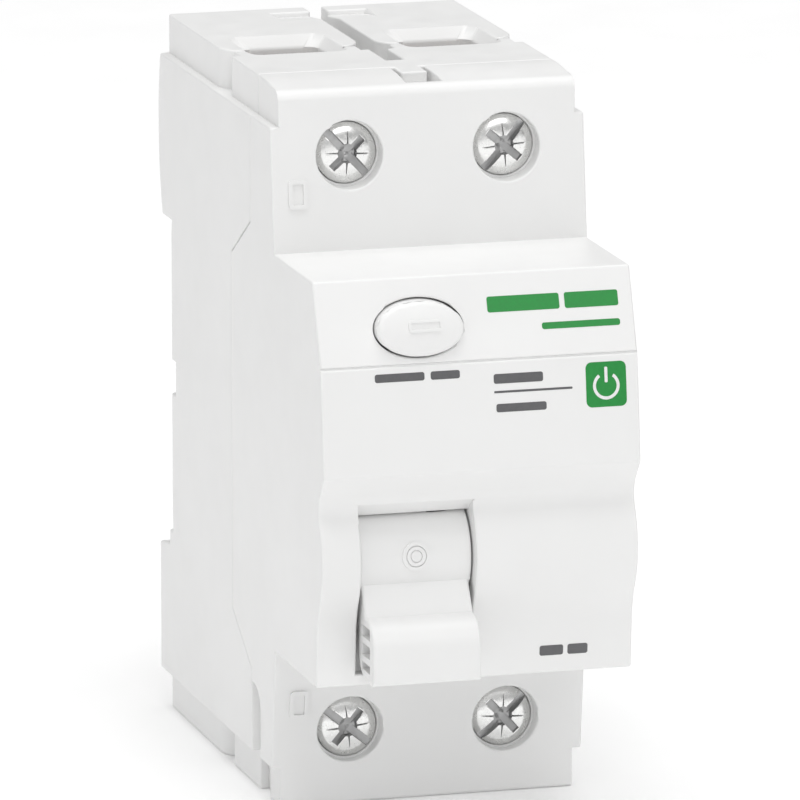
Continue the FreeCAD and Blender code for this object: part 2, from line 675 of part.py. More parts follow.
def make_bars():
    """The four terminal bars. The upper ones end in the fixed contacts, the lower ones turn
    in towards the transformer."""
    for side, pole in POLES.items():
        x = "%d * pole_x" % pole
        bar = new_body("line_bar_" + side)
        grow(bar, "front", "bar_rear_y", "bar_front_y", outline(
            (x + " - bar_half", "upper_z + 4.6"), (x + " - bar_half", "25.2"),
            (x + " - bar_neck_half", "25.2"), (x + " - bar_neck_half", "14.2"),
            (x + " + bar_neck_half", "14.2"), (x + " + bar_neck_half", "25.2"),
            (x + " + bar_half", "25.2"), (x + " + bar_half", "upper_z + 4.6")))
        bar = new_body("load_bar_" + side)
        near, far = "%d * 1.2" % pole, "%d * (pole_x + bar_neck_half)" % pole
        wide, slim = "%d * (pole_x - bar_half)" % pole, "%d * (pole_x - bar_neck_half)" % pole
        outer = "%d * (pole_x + bar_half)" % pole
        grow(bar, "front", "bar_rear_y", "bar_front_y", outline(
            (wide, "lower_z - 4.6"), (outer, "lower_z - 4.6"), (outer, "-25.2"), (far, "-25.2"),
            (far, "-18.9"),
            (near, "-18.9"), (near, "-21.3"), (slim, "-21.3"), (slim, "-25.2"), (wide, "-25.2")))


def make_terminals():
    """Screws, cages and bars."""
    turns = {("left", "upper"): 47, ("right", "upper"): -52, ("left", "lower"): 41,
             ("right", "lower"): -43}
    for side, pole in POLES.items():
        for end in ENDS:
            x = "%d * pole_x" % pole
            make_screw("screw_%s_%s" % (end, side), x, end + "_z", turns[side, end])
            make_cage("cage_%s_%s" % (end, side), x, end + "_z")
    make_bars()


# ---------------------------------------------------------------- residual current sensing

def ring_sector(inner, outer, first, last):
    """Part of a flat ring about the transformer's axis, between two directions in degrees."""
    def at(radius, angle):
        return "(%s) * cos(%d)" % (radius, angle), "ring_z + (%s) * sin(%d)" % (radius, angle)
    return outline(at(inner, last), at(inner, first) + ("-(%s)" % inner,), at(outer, first),
                   at(outer, last) + (outer,))


def make_transformer():
    """Ring core in its case, with the secondary winding and the two primary strands."""
    ring = new_body("ring_core")
    grow(ring, "front", "ring_rear_y - 1.6", "ring_front_y + 1.5",
         disc("0", "ring_z", "core_outer"), disc("0", "ring_z", "core_inner"))
    case = new_body("core_case")
    grow(case, "front", "ring_rear_y - 1.5", "ring_front_y + 0.6",
         disc("0", "ring_z", "core_case_outer"), disc("0", "ring_z", "core_case_inner"))
    carve(case, "front", "ring_rear_y - 1", "ring_front_y + 1.4",
          disc("0", "ring_z", "core_outer + 0.1"), disc("0", "ring_z", "core_inner - 0.1"))
    lid = new_body("core_case_lid")
    grow(lid, "front", "ring_rear_y - 0.6", "ring_rear_y - 1.5",
         disc("0", "ring_z", "core_case_outer"), disc("0", "ring_z", "core_case_inner"))
    winding = new_body("secondary_winding")
    grow(winding, "front", "ring_rear_y", "ring_front_y",
         ring_sector("winding_inner", "winding_outer", 200, 340))
    carve(winding, "front", "ring_rear_y - 0.55", "ring_front_y + 0.55",
          ring_sector("core_case_inner - 0.1", "core_case_outer + 0.1", 199, 341))
    for side, pole in POLES.items():
        strand = new_body("primary_strand_" + side)
        x = "%d * strand_x" % pole
        grow(strand, "side", x + " - strand_half", x + " + strand_half", outline(
            ("bar_rear_y + 0.05", "-21.2"), ("-6.6", "-21.2"), ("-4.6", "-19.2", 2), ("-4.6", "-6.9"),
            ("-6.4", "-5.1", 1.8), ("-22.5", "-5.1"), ("-22.5", "-6.9"), ("-6.4", "-6.9"),
            ("-6.4", "-19.4"), ("bar_rear_y + 0.05", "-19.4")))


def make_braids():
    """The flexible copper leads from the transformer to the moving contacts."""
    for side, pole in POLES.items():
        x = pole * value("strand_x")
        far = pole * (value("pole_x") - 0.4)
        route = [(x, -22.55, -6.0), (x, -25.0, -6.0), (far - pole * 3.2, -26.6, -3.4),
                 (far, -27.4, 0.4),
                 (far, -28.2, 3.3)]
        tube = round_tube([FreeCAD.Vector(*point) for point in route], value("braid_radius"), bend=1.2)
        make_group("braid_" + side, [tube])


def round_tube(route, radius, bend):
    """A tube along straight runs joined by tangent arcs of a bend radius."""
    edges = []
    start = route[0]
    for before, corner, after in zip(route, route[1:], route[2:]):
        arriving = (corner - before).normalize()
        leaving = (after - corner).normalize()
        half_turn = arriving.getAngle(leaving) / 2
        reach = min(bend * 2 * math.tan(half_turn), (corner - before).Length * 0.45,
                    (after - corner).Length * 0.45)
        first = corner - arriving * reach
        last = corner + leaving * reach
        middle_way = (leaving - arriving).normalize()
        arc_radius = reach / math.tan(half_turn)
        centre = corner + middle_way * (arc_radius / math.cos(half_turn))
        middle = centre - middle_way * arc_radius
        edges.append(Part.LineSegment(start, first).toShape())
        edges.append(Part.Arc(first, middle, last).toShape())
        start = last
    edges.append(Part.LineSegment(start, route[-1]).toShape())
    spine = Part.Wire(edges)
    section = Part.Wire(Part.makeCircle(radius, route[0], route[1] - route[0]))
    return spine.makePipeShell([section], True, False)


def make_relay():
    """The polarised trip relay."""
    x0, x1 = "relay_x - relay_half", "relay_x + relay_half"
    case = new_body("relay_case")
    grow(case, "top", "relay_low_z", "relay_top_z - relay_wall",
         box(x0, x1, "relay_front_y", "relay_rear_y"))
    carve(case, "top", "relay_low_z + relay_wall", "relay_top_z",
          box(x0 + " + relay_wall", x1 + " - relay_wall",
              "relay_front_y + relay_wall", "relay_rear_y - relay_wall"))
    lid = new_body("relay_lid")
    grow(lid, "top", "relay_top_z - relay_wall", "relay_top_z",
         box(x0, x1, "relay_front_y", "relay_rear_y"), disc("relay_x", "plunger_y",
         "plunger_radius + 0.2"))
    yoke = new_body("relay_yoke")
    grow(yoke, "front", "plunger_y + 2.5", "plunger_y - 2.5", outline(
        ("relay_x - 4.4", "relay_low_z + 1"), ("relay_x + 4.4", "relay_low_z + 1"),
        ("relay_x + 4.4", "-5"),
        ("relay_x + 3.6", "-5"), ("relay_x + 3.6", "relay_low_z + 2"),
        ("relay_x - 3.6", "relay_low_z + 2"),
        ("relay_x - 3.6", "-5"), ("relay_x - 4.4", "-5")))
    coil = new_body("relay_coil")
    grow(coil, "top", "relay_low_z + 4", "-5.5",
         disc("relay_x", "plunger_y", "relay_coil_radius"),
         disc("relay_x", "plunger_y", "relay_coil_bore"))
    magnet = new_body("relay_magnet")
    grow(magnet, "top", "relay_low_z + 2.1", "relay_low_z + 3.6",
         box("relay_x - 3", "relay_x + 3", "plunger_y - 2.2", "plunger_y + 2.2"))
    plunger = new_body("relay_plunger")
    grow(plunger, "top", "relay_low_z + 4.2", "0", disc("relay_x", "plunger_y", "plunger_radius"))


def make_trip_lever():
    """The lever that the relay pushes, with its latch arm between the poles."""
    body = new_body("trip_lever")
    grow(body, "side", "-0.9", "13.6", disc("lever_y", "lever_z", "lever_hub_radius"))
    grow(body, "side", "8.6", "11.6", outline(
        ("-47.4", "8"), ("-53.8", "1.6"), ("-53.8", "0.4"), ("-50.2", "0.4"), ("-44.8", "7.8")))
    grow(body, "side", "-0.9", "0.9", outline(
        ("-45.5", "10.8"), ("-46", "7.6"), ("-40", "9"), ("-38.2", "10.2"), ("-38.2", "12.6"),
        ("-39.6", "12.6")))
    carve(body, "side", "-2", "15", disc("lever_y", "lever_z", "lever_pin_radius + pin_fit"))


def make_test_circuit():
    """The parts that send a small test current round the transformer."""
    low, high = "button_x - leaf_half", "button_x + leaf_half"
    leaf = new_body("test_contact_leaf")
    grow(leaf, "side", low, high, outline(
        ("-44", "20.9"), ("-51.5", "20.9"), ("-51.5", "14"), ("-51.1", "14"), ("-51.1", "20.5"),
        ("-44", "20.5")))
    strip = new_body("test_contact_strip")
    grow(strip, "side", low, high, outline(
        ("-44", "12.2"), ("-49", "12.2"), ("-49", "18"), ("-48.6", "18"), ("-48.6", "12.6"),
        ("-44", "12.6")))
    resistor = new_body("test_resistor")
    grow(resistor, "side", "3", "12", disc("resistor_y", "resistor_z", "resistor_radius"))
    grow(resistor, "side", "-0.5", "14.8", disc("resistor_y", "resistor_z", "lead_radius"))


def make_test_button():
    """The oval push button with a slightly domed face, a retaining flange and a stem."""
    body = new_body("test_button")
    grow(body, "front", "flange_y", "flange_y - 1.1", oval("button_x", "button_z", "button_long + 0.7",
                                                           "button_short + 0.55"))
    grow(body, "front", "flange_y - 1", "-66", oval("button_x", "button_z", "button_long",
                                                    "button_short"))
    grow(body, "front", "-54.3", "flange_y - 0.5", disc("button_x", "button_z", "stem_radius"))
    # domed face, parallel to the slanted top of the nose
    carve(body, "side", "button_x - 7", "button_x + 7", outline(
        ("-67", "11"), ("-64.55", "13.5"), ("-62.25", "21.6", -15), ("-60", "22"), ("-67", "23")))


# ---------------------------------------------------------------- barrier and rail clip

def make_barrier():
    """The insulating wall between the two poles."""
    body = new_body("phase_barrier")
    grow(body, "side", "-barrier_half", "barrier_half", outline(
        ("-back_wall - 0.1", "7.5"), ("-29", "7.5"), ("-31.2", "10"), ("-31.2", "cavity_z - 1"),
        ("-back_wall - 0.1", "cavity_z - 1")))


def make_rail_clip():
    """The sliding clip that hooks behind the rail's lower edge."""
    body = new_body("rail_clip")
    grow(body, "front", "clip_rear_y", "clip_front_y", outline(
        ("-clip_half", "-22"), ("-clip_half", "-36"), ("-6", "clip_low_z"), ("6", "clip_low_z"),
        ("clip_half", "-36"),
        ("clip_half", "-22"), ("clip_half - clip_bevel", "-20.6"),
        ("clip_half - clip_bevel", "clip_top_z"),
        ("clip_bevel - clip_half", "clip_top_z"), ("clip_bevel - clip_half", "-20.6")))
    # the beak leans over the rail's edge, and its back is sloped so that the rail snaps in
    grow(body, "side", "clip_bevel - clip_half", "clip_half - clip_bevel", outline(
        ("1.4", "-18.6"), ("1.4", "clip_top_z"), ("clip_front_y + 0.1", "clip_top_z"),
        ("clip_front_y + 0.1", "-18.6")))
    carve(body, "side", "-clip_half", "clip_half", outline(
        ("2.6", "clip_top_z + 0.1"), ("4.6", "clip_top_z + 0.1"), ("4.6", "clip_top_z - 3")))
    carve(body, "front", "clip_rear_y + 1", "clip_front_y - 1", box("-1.5", "1.5", "-38", "-28"))
    carve(body, "front", "clip_rear_y + 1", "clip_front_y - 1", box("-3.4", "3.4", "-39.6", "-38.6"))


make_rear_base()
make_front_cover()
make_toggle()
make_pins()
make_link()
make_carrier()
make_contacts()
make_springs()
make_terminals()
make_transformer()
make_braids()
make_relay()
make_trip_lever()
make_test_circuit()
make_test_button()
make_barrier()
make_rail_clip()


# ---------------------------------------------------------------- output

def check_and_write():
    """Refuses a failed object, then writes each node's solid."""
    doc.recompute()
    failed = [item.Label for item in doc.Objects if {"Invalid", "Error"} & set(item.State)]
    if failed:
        raise RuntimeError("failed: " + ", ".join(failed))
    for body in nodes:
        if body.TypeId == "PartDesign::Body":
            check_steps(body)
        shape = body.Shape
        if shape.isNull() or not shape.isValid() or not shape.Solids:
            raise RuntimeError("%s has no valid solid" % body.Label)
    for body in nodes:
        shape = body.Shape
        shape.exportStep("parts/%s.step" % body.Label)
        print("%-24s %2d solid(s) %9.1f mm3" % (body.Label, len(shape.Solids), shape.Volume))


def check_steps(body):
    """Refuses a pad that adds nothing or a pocket that removes nothing."""
    last = 0.0
    for feature in body.Group:
        if feature.TypeId not in ("PartDesign::Pad", "PartDesign::Pocket"):
            if hasattr(feature, "AddSubShape") or feature.TypeId.startswith("PartDesign"):
                last = feature.Shape.Volume
            continue
        volume = feature.Shape.Volume
        wrong = volume <= last if feature.TypeId == "PartDesign::Pad" else volume >= last
        if wrong:
            raise RuntimeError("%s of %s changed nothing" % (feature.Label, body.Label))
        last = volume


check_and_write()
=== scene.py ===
"""A two pole residual current device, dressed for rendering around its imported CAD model."""

import json
import math

import bmesh
import bpy
from mathutils import Matrix, Vector
from mathutils.bvhtree import BVHTree


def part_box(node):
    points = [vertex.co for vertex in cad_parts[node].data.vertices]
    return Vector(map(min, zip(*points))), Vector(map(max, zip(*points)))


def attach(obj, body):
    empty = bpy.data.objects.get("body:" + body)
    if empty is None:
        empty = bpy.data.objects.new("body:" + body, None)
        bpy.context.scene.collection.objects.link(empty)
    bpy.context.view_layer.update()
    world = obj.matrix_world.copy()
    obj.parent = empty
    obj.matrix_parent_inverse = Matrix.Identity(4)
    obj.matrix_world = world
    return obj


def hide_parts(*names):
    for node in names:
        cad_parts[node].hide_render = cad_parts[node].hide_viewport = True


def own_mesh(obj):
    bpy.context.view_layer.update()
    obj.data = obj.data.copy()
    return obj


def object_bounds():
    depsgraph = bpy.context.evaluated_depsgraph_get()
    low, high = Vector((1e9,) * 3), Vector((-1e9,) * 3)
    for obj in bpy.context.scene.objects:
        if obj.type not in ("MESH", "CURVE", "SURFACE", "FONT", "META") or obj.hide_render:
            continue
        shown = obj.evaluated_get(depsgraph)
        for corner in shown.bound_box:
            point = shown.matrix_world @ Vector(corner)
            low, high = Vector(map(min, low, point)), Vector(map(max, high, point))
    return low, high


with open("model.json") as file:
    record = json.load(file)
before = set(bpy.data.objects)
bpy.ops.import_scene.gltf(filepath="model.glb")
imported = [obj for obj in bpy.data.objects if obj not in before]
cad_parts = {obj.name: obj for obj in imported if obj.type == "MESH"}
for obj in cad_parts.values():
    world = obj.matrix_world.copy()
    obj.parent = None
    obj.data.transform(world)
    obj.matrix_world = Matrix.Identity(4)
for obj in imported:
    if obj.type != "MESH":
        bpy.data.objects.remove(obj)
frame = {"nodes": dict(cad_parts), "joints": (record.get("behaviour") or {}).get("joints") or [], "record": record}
cad_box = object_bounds()

MM = 0.001
NODES = frame["nodes"]
JOINTS = {joint["name"]: joint for joint in frame["joints"]}
TOGGLE_PIVOT = Vector(JOINTS["toggle_turn"]["pos_m"])
DRUM_RADIUS = 5.6 * MM
JOINT_FACE_Y = -35.0 * MM
SHARP = math.radians(28)
PRINT_RISE, BADGE_RISE = 0.02, 0.035
HEAD_RADIUS, HEAD_RISE = 3.45, 0.9
DOME_ROUND, DOME_FALL = 0.62, 1.15


# ---------------------------------------------------------------- materials

def new_material(name, base, roughness, metallic=0.0):
    """A material with a Principled shader, and its node tree's handles."""
    material = bpy.data.materials.new(name)
    material.use_nodes = True
    tree = material.node_tree
    shader = tree.nodes["Principled BSDF"]
    shader.inputs["Base Color"].default_value = (*base, 1.0)
    shader.inputs["Roughness"].default_value = roughness
    shader.inputs["Metallic"].default_value = metallic
    return material, tree, shader


def add(tree, kind, **values):
    """A node with the given input values, found by their sockets' names."""
    node = tree.nodes.new(kind)
    for key, number in values.items():
        node.inputs[key.replace("_", " ")].default_value = number
    return node


def noise_from(tree, scale, detail=3.0, stretch=(1, 1, 1)):
    """Noise in the object's own metres, scale in features per metre, stretched along the axes."""
    place = tree.nodes.new("ShaderNodeTexCoord")
    mapping = tree.nodes.new("ShaderNodeMapping")
    mapping.inputs["Scale"].default_value = stretch
    noise = add(tree, "ShaderNodeTexNoise", Scale=scale, Detail=detail)
    tree.links.new(place.outputs["Object"], mapping.inputs["Vector"])
    tree.links.new(mapping.outputs["Vector"], noise.inputs["Vector"])
    return noise


def spread(tree, source, low, high):
    """The source's 0.3 to 0.7 mapped to a range."""
    node = tree.nodes.new("ShaderNodeMapRange")
    for socket, number in zip(("From Min", "From Max", "To Min", "To Max"), (0.3, 0.7, low, high)):
        node.inputs[socket].default_value = number
    tree.links.new(source, node.inputs["Value"])
    return node.outputs["Result"]


def tint(tree, source, dark, light):
    """A colour between two colours."""
    node = tree.nodes.new("ShaderNodeValToRGB")
    node.color_ramp.elements[0].position = 0.3
    node.color_ramp.elements[0].color = (*dark, 1)
    node.color_ramp.elements[1].position = 0.7
    node.color_ramp.elements[1].color = (*light, 1)
    tree.links.new(source, node.inputs["Fac"])
    return node.outputs["Color"]


def bump(tree, shader, height, depth, strength=1.0):
    """Relief of a depth in metres."""
    node = add(tree, "ShaderNodeBump", Strength=strength, Distance=depth)
    tree.links.new(height, node.inputs["Height"])
    tree.links.new(node.outputs["Normal"], shader.inputs["Normal"])


def plastic(name, base, roughness=0.42, grain=0.006 * MM, cloud=0.012):
    """Moulded plastic with a spark eroded grain, faint clouds of colour and uneven gloss."""
    material, tree, shader = new_material(name, base, roughness)
    shader.inputs["IOR"].default_value = 1.5
    clouds = noise_from(tree, 70.0, 2.0)
    dark = [channel * (1 - cloud) for channel in base]
    light = [min(channel * (1 + cloud), 1.0) for channel in base]
    tree.links.new(tint(tree, clouds.outputs["Fac"], dark, light), shader.inputs["Base Color"])
    smears = noise_from(tree, 350.0, 4.0)
    tree.links.new(spread(tree, smears.outputs["Fac"], roughness - 0.05, roughness + 0.07),
                   shader.inputs["Roughness"])
    erosion = noise_from(tree, 5200.0, 3.0)
    bump(tree, shader, erosion.outputs["Fac"], grain, 0.6)
    return material


def metal(name, base, roughness, stretch=(1, 1, 1), grain=0.004 * MM, stain=0.12):
    """Bare or plated metal with drawn or rolled scratches and slight stains."""
    material, tree, shader = new_material(name, base, roughness, 1.0)
    stains = noise_from(tree, 260.0, 4.0)
    dark = [channel * (1 - stain) for channel in base]
    tree.links.new(tint(tree, stains.outputs["Fac"], dark, base), shader.inputs["Base Color"])
    scratches = noise_from(tree, 2600.0, 5.0, stretch)
    tree.links.new(spread(tree, scratches.outputs["Fac"], roughness - 0.08, roughness + 0.12),
                   shader.inputs["Roughness"])
    bump(tree, shader, scratches.outputs["Fac"], grain, 0.7)
    return material


def wound(name, base, pitch, axis, roughness=0.3, metallic=1.0):
    """Closely laid wire or strip, with its turns as ridges along one axis and painted shade in the grooves between
    them.
    """
    material, tree, shader = new_material(name, base, roughness, metallic)
    place = tree.nodes.new("ShaderNodeTexCoord")
    wave = add(tree, "ShaderNodeTexWave", Scale=0.314 / pitch, Distortion=0.4)
    wave.bands_direction = axis
    tree.links.new(place.outputs["Object"], wave.inputs["Vector"])
    # darker where the grooves between the turns lie: painted shade
    dark = [channel * 0.55 for channel in base]
    tree.links.new(tint(tree, wave.outputs["Fac"], dark, base), shader.inputs["Base Color"])
    bump(tree, shader, wave.outputs["Fac"], pitch / 3, 0.8)
    return material


def ink(name, base):
    """Pad printed ink: a little glossier than the case, with a speckled film."""
    material, tree, shader = new_material(name, base, 0.36)
    specks = noise_from(tree, 2500.0, 5.0)
    dark = [channel * 0.9 for channel in base]
    tree.links.new(tint(tree, specks.outputs["Fac"], dark, base), shader.inputs["Base Color"])
    tree.links.new(spread(tree, specks.outputs["Fac"], 0.3, 0.42), shader.inputs["Roughness"])
    bump(tree, shader, specks.outputs["Fac"], 0.003 * MM, 0.5)
    return material


WHITE = (0.84, 0.84, 0.835)
MATERIALS = {
    "case_plastic": plastic("case_plastic", WHITE),
    "clip_plastic": plastic("clip_plastic", (0.72, 0.72, 0.71), 0.38),
    "toggle_plastic": plastic("toggle_plastic", (0.83, 0.83, 0.825), 0.34, 0.003 * MM),
    "button_plastic": plastic("button_plastic", (0.84, 0.84, 0.835), 0.36, 0.003 * MM),
    "crossbar_plastic": plastic("crossbar_plastic", (0.03, 0.03, 0.035), 0.5, 0.01 * MM, 0.15),
    "relay_plastic": plastic("relay_plastic", (0.05, 0.055, 0.06), 0.45, 0.006 * MM, 0.1),
    "barrier_plastic": plastic("barrier_plastic", (0.42, 0.38, 0.28), 0.7, 0.02 * MM, 0.12),
    "zinc_steel": metal("zinc_steel", (0.88, 0.88, 0.87), 0.2, grain=0.001 * MM, stain=0.05),
    "spring_steel": metal("spring_steel", (0.42, 0.42, 0.44), 0.3),
    "pin_steel": metal("pin_steel", (0.56, 0.56, 0.57), 0.22, (0.1, 1, 1)),
    "copper": metal("copper", (0.80, 0.40, 0.22), 0.32, (1, 1, 0.08), stain=0.25),
    "braid_copper": wound("braid_copper", (0.72, 0.36, 0.2), 0.35 * MM, "Y"),
    "silver": metal("silver", (0.84, 0.83, 0.8), 0.36),
    "core_metal": metal("core_metal", (0.3, 0.31, 0.34), 0.4, stain=0.2),
    "winding": wound("winding", (0.55, 0.2, 0.07), 0.3 * MM, "Z", 0.25, 0.9),
    "magnet": plastic("magnet", (0.05, 0.05, 0.055), 0.5, 0.01 * MM, 0.2),
    "resistor": plastic("resistor", (0.28, 0.42, 0.36), 0.25, 0.002 * MM, 0.1),
}
# darker steel for the faces inside the screw recesses: painted shade in the recess
RECESS_PAINTED_SHADE = metal("recess_painted_shade_steel", (0.5, 0.5, 0.5), 0.36, grain=0.004 * MM, stain=0.2)
GREY_INK = ink("grey_ink", (0.12, 0.12, 0.125))
GREEN_INK = ink("green_ink", (0.012, 0.27, 0.045))
WHITE_INK = ink("white_ink", (0.86, 0.86, 0.86))


def finish_of(node):
    """The record's material slot of a CAD node."""
    for entry in frame["record"]["subparts"]:
        if entry["node"] == node:
            return entry["material_slot"]
    raise KeyError(node)


def body_of(node):
    """The CAD body that a node belongs to."""
    for body, members in frame["record"]["behaviour"]["bodies"].items():
        if node in members:
            return body
    raise KeyError(node)


# ---------------------------------------------------------------- pieces

def add_piece(name, bm, body, slot, material=None, origin=None):
    """Makes a mesh piece that rides on a body. Its own origin may lie somewhere else than the frame's."""
    origin = origin or Vector()
    bm.transform(Matrix.Translation(-origin))
    mesh = bpy.data.meshes.new(name)
    bm.to_mesh(mesh)
    bm.free()
    for attribute in [a for a in mesh.attributes if a.name == "custom_normal"]:
        mesh.attributes.remove(attribute)
    piece = bpy.data.objects.new(name, mesh)
    piece.location = origin
    bpy.context.scene.collection.objects.link(piece)
    mesh.materials.clear()
    mesh.materials.append(material or MATERIALS[slot])
    for face in mesh.polygons:
        face.material_index = 0
    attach(piece, body)
    return piece


def smooth(piece, angle=40):
    """Smooth shading with flat faces kept flat, and creases above an angle kept sharp."""
    piece.data.polygons.foreach_set("use_smooth", [True] * len(piece.data.polygons))
    piece.data.set_sharp_from_angle(angle=math.radians(angle))
    normals = piece.modifiers.new("even_normals", "WEIGHTED_NORMAL")
    normals.keep_sharp = True
    return piece


def welded(node):
    """A CAD node's mesh as one closed surface with whole flat faces."""
    bm = bmesh.new()
    bm.from_mesh(NODES[node].data)
    bmesh.ops.remove_doubles(bm, verts=bm.verts, dist=0.001 * MM)
    bmesh.ops.dissolve_limit(bm, angle_limit=math.radians(0.3), verts=bm.verts, edges=bm.edges)
    return bm


def softened(node, width, choose=lambda edge: True, segments=3):
    """Stands in for a CAD node with its outer edges rounded to a width."""
    bm = welded(node)
    # a face with openings has to be in triangles, or rounding its rim closes the openings
    joint_faces = [face for face in bm.faces
                   if all(abs(vert.co.y - JOINT_FACE_Y) < 0.05 * MM for vert in face.verts)]
    bmesh.ops.triangulate(bm, faces=joint_faces)
    edges = [edge for edge in bm.edges if edge.is_manifold and edge.is_convex
             and edge.calc_face_angle() > SHARP and choose(edge)]
    bmesh.ops.bevel(bm, geom=edges, offset=width, offset_type="OFFSET", segments=segments, profile=0.5,
                    affect="EDGES", clamp_overlap=False)
    slot = finish_of(node)
    piece = smooth(add_piece(node + "_shell", bm, body_of(node), slot))
    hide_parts(node)
    return piece


def dress_hidden_nodes(done):
    """Every CAD node that stays as it is gets its finish."""
    for node, item in NODES.items():
        if node not in done:
            item.data.materials.clear()
            item.data.materials.append(MATERIALS[finish_of(node)])


# ---------------------------------------------------------------- outlines

def rounded_bar(x0, x1, z0, z1, radius, steps=5):
    """The points of a rectangle with rounded corners, in mm, going round it once."""
    points = []
    for x, z, start in ((x1 - radius, z1 - radius, 0), (x0 + radius, z1 - radius, 90),
                        (x0 + radius, z0 + radius, 180), (x1 - radius, z0 + radius, 270)):
        for step in range(steps + 1):
            angle = math.radians(start + 90 * step / steps)
            points.append((x + radius * math.cos(angle), z + radius * math.sin(angle)))
    return points


def inset(points, by):
    """The outline moved inwards, for outlines that run round counter clockwise."""
    moved = []
    for index, (x, z) in enumerate(points):
        back, ahead = points[index - 1], points[(index + 1) % len(points)]
        along = Vector((ahead[0] - back[0], ahead[1] - back[1])).normalized()
        moved.append((x - along.y * by, z + along.x * by))
    return moved


def arc_stroke(x, z, radius, width, first, last, steps=40):
    """A curved stroke with square ends, between two directions in degrees."""
    def at(r, degrees):
        angle = math.radians(degrees)
        return x + r * math.cos(angle), z + r * math.sin(angle)
    turns = [first + (last - first) * step / steps for step in range(steps + 1)]
    outer = [at(radius + width / 2, turn) for turn in turns]
    return outer + [at(radius - width / 2, turn) for turn in reversed(turns)]


# ---------------------------------------------------------------- marks on the surfaces

SURFACES = {}


def front_of(node, x, z):
    """Where the front of a CAD node lies at a place, all in metres."""
    if node not in SURFACES:
        bm = welded(node)
        SURFACES[node] = BVHTree.FromBMesh(bm)
        bm.free()
    hit = SURFACES[node].ray_cast(Vector((x, -0.2, z)), Vector((0, 1, 0)))
    return hit[0].y


def slab(outer, holes=(), slice_height=0.5):
    """A flat sheet in the XZ plane with holes, cut into level slices so that it can be bent."""
    bm = bmesh.new()
    edges = []
    for loop in (outer, *holes):
        ring = [bm.verts.new((x * MM, 0, z * MM)) for x, z in loop]
        edges += [bm.edges.new((ring[i - 1], ring[i])) for i in range(len(ring))]
    bmesh.ops.triangle_fill(bm, use_beauty=True, use_dissolve=False, edges=edges)
    heights = [vert.co.z for vert in bm.verts]
    level = min(heights) + slice_height * MM
    while level < max(heights) - 0.05 * MM:
        bmesh.ops.bisect_plane(bm, geom=bm.verts[:] + bm.edges[:] + bm.faces[:], dist=1e-8,
                               plane_co=(0, 0, level), plane_no=(0, 0, 1))
        level += slice_height * MM
    bmesh.ops.recalc_face_normals(bm, faces=bm.faces)
    if sum(face.normal.y for face in bm.faces) > 0:
        bmesh.ops.reverse_faces(bm, faces=bm.faces)
    return bm


def thicken(bm, front, back):
    """Gives a sheet a front and a back, given as depths in front of the sheet, with walls between."""
    sheet = bm.faces[:]
    copy = bmesh.ops.duplicate(bm, geom=bm.verts[:] + bm.edges[:] + bm.faces[:])
    behind = [item for item in copy["geom"] if isinstance(item, bmesh.types.BMVert)]
    rear_faces = [item for item in copy["geom"] if isinstance(item, bmesh.types.BMFace)]
    for face in sheet:
        for vert in face.verts:
            vert.co.y = -front
    for vert in behind:
        vert.co.y = -back
    bmesh.ops.reverse_faces(bm, faces=rear_faces)
    twins = {a: b for a, b in copy["vert_map"].items()}
    for edge in [edge for edge in bm.edges if edge.is_boundary and edge.verts[0] in twins]:
        a, b = edge.verts
        if not any(vert in behind for vert in (a, b)) and b in twins:
            bm.faces.new((a, b, twins[b], twins[a]))
    bmesh.ops.recalc_face_normals(bm, faces=bm.faces)


def mark(name, node, outer, rise, holes=(), material=None, sink=0.05):
    """A raised or printed mark that follows the front of a node, with its rise in mm."""
    bm = slab(outer, holes)
    thicken(bm, rise * MM, -sink * MM)
    for vert in bm.verts:
        vert.co.y += front_of(node, vert.co.x, vert.co.z)
    return smooth(add_piece(name, bm, body_of(node), finish_of(node), material), 30)


def printed_line(name, words, z0, z1, material=None):
    """One line of print, with each word as a plain bar between two X places in mm."""
    for number, (x0, x1) in enumerate(words, start=1):
        bar = rounded_bar(x0, x1, z0, z1, min(0.25, (z1 - z0) / 2.2))
        mark("%s_%d" % (name, number), "front_cover", bar, PRINT_RISE, material=material or GREY_INK)


def make_prints():
    """Plain bars, a rule and a badge where the device carries its lettering."""
    printed_line("print_heading", ((1.4, 9.6), (10.2, 16.3)), 18.35, 20.0, GREEN_INK)
    printed_line("print_subheading", ((7.4, 16.3),), 16.3, 17.0, GREEN_INK)
    printed_line("print_test", ((-11.9, -6.3), (-5.6, -2.3)), 11.7, 12.6)
    printed_line("print_series", ((1.5, 7.1),), 10.85, 11.9)
    printed_line("print_rule", ((1.5, 10.4),), 9.83, 10.07)
    printed_line("print_kind", ((1.7, 7.4),), 7.75, 8.65)
    printed_line("print_rating", ((7.4, 10.1), (10.6, 12.9)), -20.5, -19.35)
    field = rounded_bar(11.95, 16.55, 7.65, 12.55, 0.65)
    ring = arc_stroke(14.25, 9.95, 1.35, 0.34, 125, 415)
    stroke = rounded_bar(14.08, 14.42, 10.3, 12.0, 0.12)
    mark("badge_field", "front_cover", field, PRINT_RISE, material=GREEN_INK)
    mark("badge_ring", "front_cover", ring, BADGE_RISE, material=WHITE_INK)
    mark("badge_stroke", "front_cover", stroke, BADGE_RISE, material=WHITE_INK)


def make_relief_marks():
    """Raised marks: an empty field beside each left terminal and a bar on the test button."""
    for end, z0 in (("upper", 27.3), ("lower", -30.5)):
        field = rounded_bar(-16.15, -14.0, z0, z0 + 3.2, 0.45)
        window = rounded_bar(-15.7, -14.45, z0 + 0.45, z0 + 2.75, 0.15)
        mark("field_" + end, "front_cover", field, 0.26, [list(reversed(window))])
    low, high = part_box("test_button")
    x, z = (low.x + high.x) / 2 / MM + 0.5, (low.z + high.z) / 2 / MM + 0.45
    bar = rounded_bar(x - 1.9, x + 1.9, z - 0.65, z + 0.65, 0.35)
    mark("button_bar", "test_button", bar, 0.16, [list(reversed(inset(bar, 0.3)))])


# ---------------------------------------------------------------- toggle marks

